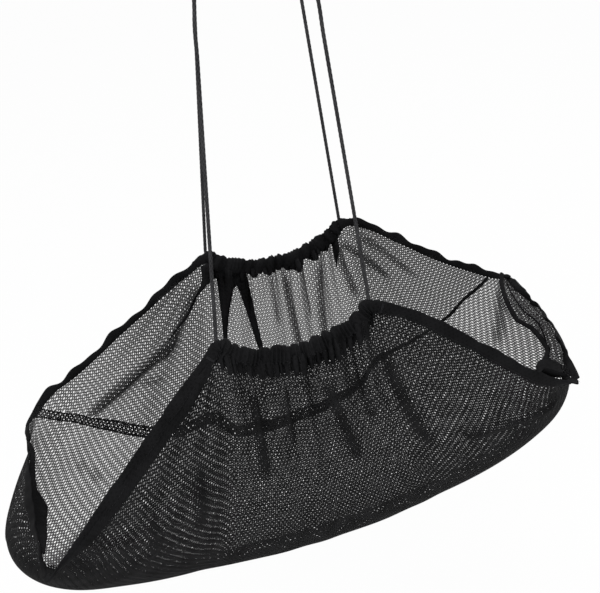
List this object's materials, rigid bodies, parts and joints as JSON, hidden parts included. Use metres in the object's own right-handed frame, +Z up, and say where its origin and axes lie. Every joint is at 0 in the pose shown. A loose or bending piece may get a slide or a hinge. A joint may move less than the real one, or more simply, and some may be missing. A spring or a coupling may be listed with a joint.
{
  "type": "mesh weigh sling",
  "caption": "Boat-shaped weigh sling of knitted mesh, its long rims gathered on drawcords that leave the folded casings at slits and rise as loop handles.",
  "frame": {"origin": "The hanging point, midway between the knots of the two handles, where a hook holds the sling.", "axes": "+Z is up, +X runs along the sling to its right end as seen from the front, and -Y is the front."},
  "size_m": [0.7763, 0.2984, 0.792],
  "materials": {
    "knitted_mesh": "black knitted mesh with small holes, matt",
    "hem_tape": "the same cloth folded double, near black, matt",
    "braided_cord": "dark grey braided cord, slightly smooth",
    "stitching": "black thread in close rows"
  },
  "bodies": {
    "sling": {"mesh_main_panel": "knitted_mesh", "mesh_back_panel": "knitted_mesh", "back_seam": "hem_tape", "front_casing": "hem_tape", "back_casing": "hem_tape", "left_end_hem": "hem_tape", "right_end_hem": "hem_tape", "left_end_tuck": "knitted_mesh", "right_end_tuck": "knitted_mesh", "front_casing_cord": "braided_cord", "back_casing_cord": "braided_cord", "front_left_slit_tack": "stitching", "front_left_corner_tack": "stitching", "front_right_slit_tack": "stitching", "front_right_corner_tack": "stitching", "back_left_slit_tack": "stitching", "back_left_corner_tack": "stitching", "back_right_slit_tack": "stitching", "back_right_corner_tack": "stitching"},
    "front_handle": {"front_handle_left_leg": "braided_cord", "front_handle_right_leg": "braided_cord", "front_handle_knot": "braided_cord"},
    "back_handle": {"back_handle_left_leg": "braided_cord", "back_handle_right_leg": "braided_cord", "back_handle_knot": "braided_cord"}
  },
  "joints": [
    {"name": "front_handle_swing", "type": "hinge", "parent": "sling", "child": "front_handle", "pos_m": [-0.0185, -0.1, -0.3964], "axis": [1, 0, 0], "range_deg": [0, 110]},
    {"name": "back_handle_swing", "type": "hinge", "parent": "sling", "child": "back_handle", "pos_m": [0.0175, 0.1, -0.3904], "axis": [-1, 0, 0], "range_deg": [0, 110]}
  ]
}
